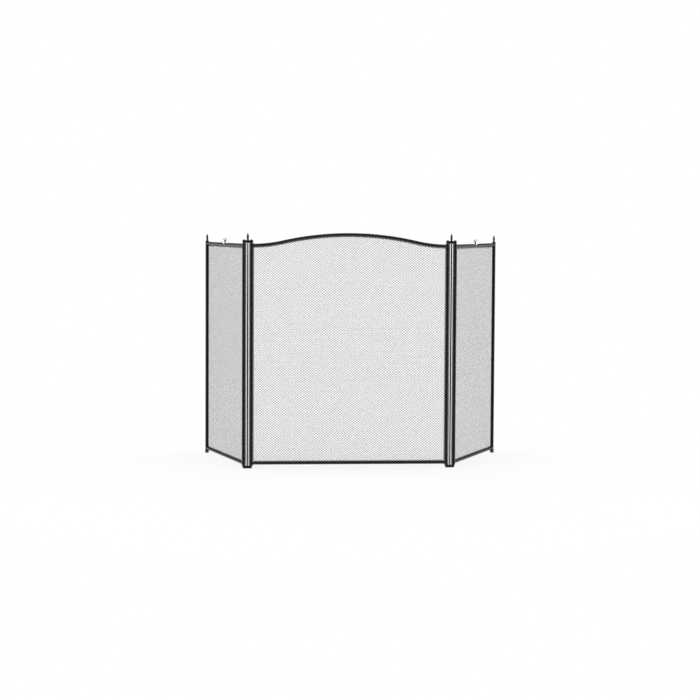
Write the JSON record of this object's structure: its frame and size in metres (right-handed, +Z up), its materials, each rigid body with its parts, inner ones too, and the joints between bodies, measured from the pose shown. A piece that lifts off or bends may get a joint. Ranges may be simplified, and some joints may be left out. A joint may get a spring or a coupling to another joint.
{
  "type": "fireplace screen",
  "caption": "Free-standing three-fold fireplace screen: arched woven-wire centre panel between polished fold columns, with hinged side panels that have lift knobs.",
  "frame": {"origin": "middle of the whole screen's footprint, on the floor", "axes": "+X to the right along the centre panel as seen from the room, -Y towards the room, +Z up"},
  "size_m": [1.063, 0.2948, 0.8109],
  "materials": {
    "black_enamel": "gloss",
    "polished_nickel": "polished",
    "black_wire": "satin",
    "black_polymer": "satin",
    "zinc_steel": "satin"
  },
  "bodies": {
    "centre_panel": {"centre_arch_rail": "black_enamel", "centre_bottom_rail": "black_enamel", "centre_mesh": "black_wire", "centre_mesh_top_rod": "black_wire", "centre_mesh_side_rod": "black_wire", "centre_left_stile": "black_enamel", "centre_left_lower_plug": "black_polymer", "centre_left_upper_plug": "black_polymer", "centre_right_stile": "black_enamel", "centre_right_lower_plug": "black_polymer", "centre_right_upper_plug": "black_polymer"},
    "left_column": {"left_column_tube": "polished_nickel", "left_top_bracket": "black_enamel", "left_bottom_bracket": "black_enamel", "left_column_foot": "black_polymer", "left_tie_rod": "zinc_steel", "left_tie_nut": "zinc_steel", "left_column_finial": "black_enamel", "left_upper_pin_centre": "black_enamel", "left_upper_pin_side": "black_enamel", "left_lower_pin_centre": "zinc_steel", "left_lower_pin_side": "zinc_steel"},
    "left_panel": {"left_inner_stile": "black_enamel", "left_lower_plug": "black_polymer", "left_upper_plug": "black_polymer", "left_outer_post": "black_enamel", "left_post_foot": "black_polymer", "left_post_cap": "black_enamel", "left_post_finial": "black_enamel", "left_top_rail": "black_enamel", "left_bottom_rail": "black_enamel", "left_mesh": "black_wire", "left_mesh_top_rod": "black_wire", "left_mesh_side_rod": "black_wire", "left_knob": "polished_nickel"},
    "right_column": {"right_column_tube": "polished_nickel", "right_top_bracket": "black_enamel", "right_bottom_bracket": "black_enamel", "right_column_foot": "black_polymer", "right_tie_rod": "zinc_steel", "right_tie_nut": "zinc_steel", "right_column_finial": "black_enamel", "right_upper_pin_centre": "black_enamel", "right_upper_pin_side": "black_enamel", "right_lower_pin_centre": "zinc_steel", "right_lower_pin_side": "zinc_steel"},
    "right_panel": {"right_inner_stile": "black_enamel", "right_lower_plug": "black_polymer", "right_upper_plug": "black_polymer", "right_outer_post": "black_enamel", "right_post_foot": "black_polymer", "right_post_cap": "black_enamel", "right_post_finial": "black_enamel", "right_top_rail": "black_enamel", "right_bottom_rail": "black_enamel", "right_mesh": "black_wire", "right_mesh_top_rod": "black_wire", "right_mesh_side_rod": "black_wire", "right_knob": "polished_nickel"}
  },
  "joints": [
    {"name": "left_column_fold", "type": "hinge", "parent": "centre_panel", "child": "left_column", "pos_m": [-0.35455, -0.14102, 0], "axis": [0, 0, -1], "range_deg": [0, 90]},
    {"name": "left_panel_fold", "type": "hinge", "parent": "left_column", "child": "left_panel", "pos_m": [-0.38075, -0.14102, 0], "axis": [0, 0, -1], "range_deg": [-63, 27]},
    {"name": "right_column_fold", "type": "hinge", "parent": "centre_panel", "child": "right_column", "pos_m": [0.31925, -0.14102, 0], "axis": [0, 0, 1], "range_deg": [0, 90]},
    {"name": "right_panel_fold", "type": "hinge", "parent": "right_column", "child": "right_panel", "pos_m": [0.34545, -0.14102, 0], "axis": [0, 0, 1], "range_deg": [-55.5, 34.5]}
  ]
}
